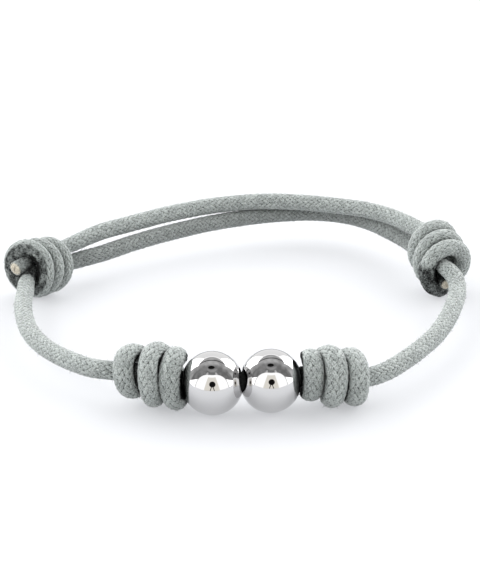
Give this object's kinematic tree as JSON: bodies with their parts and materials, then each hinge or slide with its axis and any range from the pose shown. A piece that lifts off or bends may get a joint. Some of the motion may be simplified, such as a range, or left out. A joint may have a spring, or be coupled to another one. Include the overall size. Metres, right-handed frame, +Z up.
{
  "type": "adjustable waxed cord bracelet",
  "caption": "Adjustable bracelet of braided waxed cord with polished round steel beads between two stopper knots, closed by sliding knots.",
  "frame": {"origin": "on the surface it lies on, at the middle of the bracelet's outline", "axes": "+X to the right across the loop with the beads in front, +Y away from the beads to the doubled cords at the back, +Z up"},
  "size_m": [0.0666, 0.0594, 0.0098],
  "materials": {
    "polished_bead": "stainless steel polished to a mirror, drilled through",
    "light_cord": "waxed cotton cord, round braid in two-over-two strands, light neutral grey",
    "knot_cord": "the same waxed cotton cord wound tight in the knots, a little darker in its folds"
  },
  "bodies": {
    "root": {"bead_left": "polished_bead", "bead_right": "polished_bead", "front_cord": "light_cord", "lower_back_cord": "light_cord", "upper_back_cord": "light_cord", "stopper_knot_left": "knot_cord", "stopper_knot_right": "knot_cord", "sliding_knot_left": "knot_cord", "sliding_knot_right": "knot_cord"}
  },
  "joints": []
}
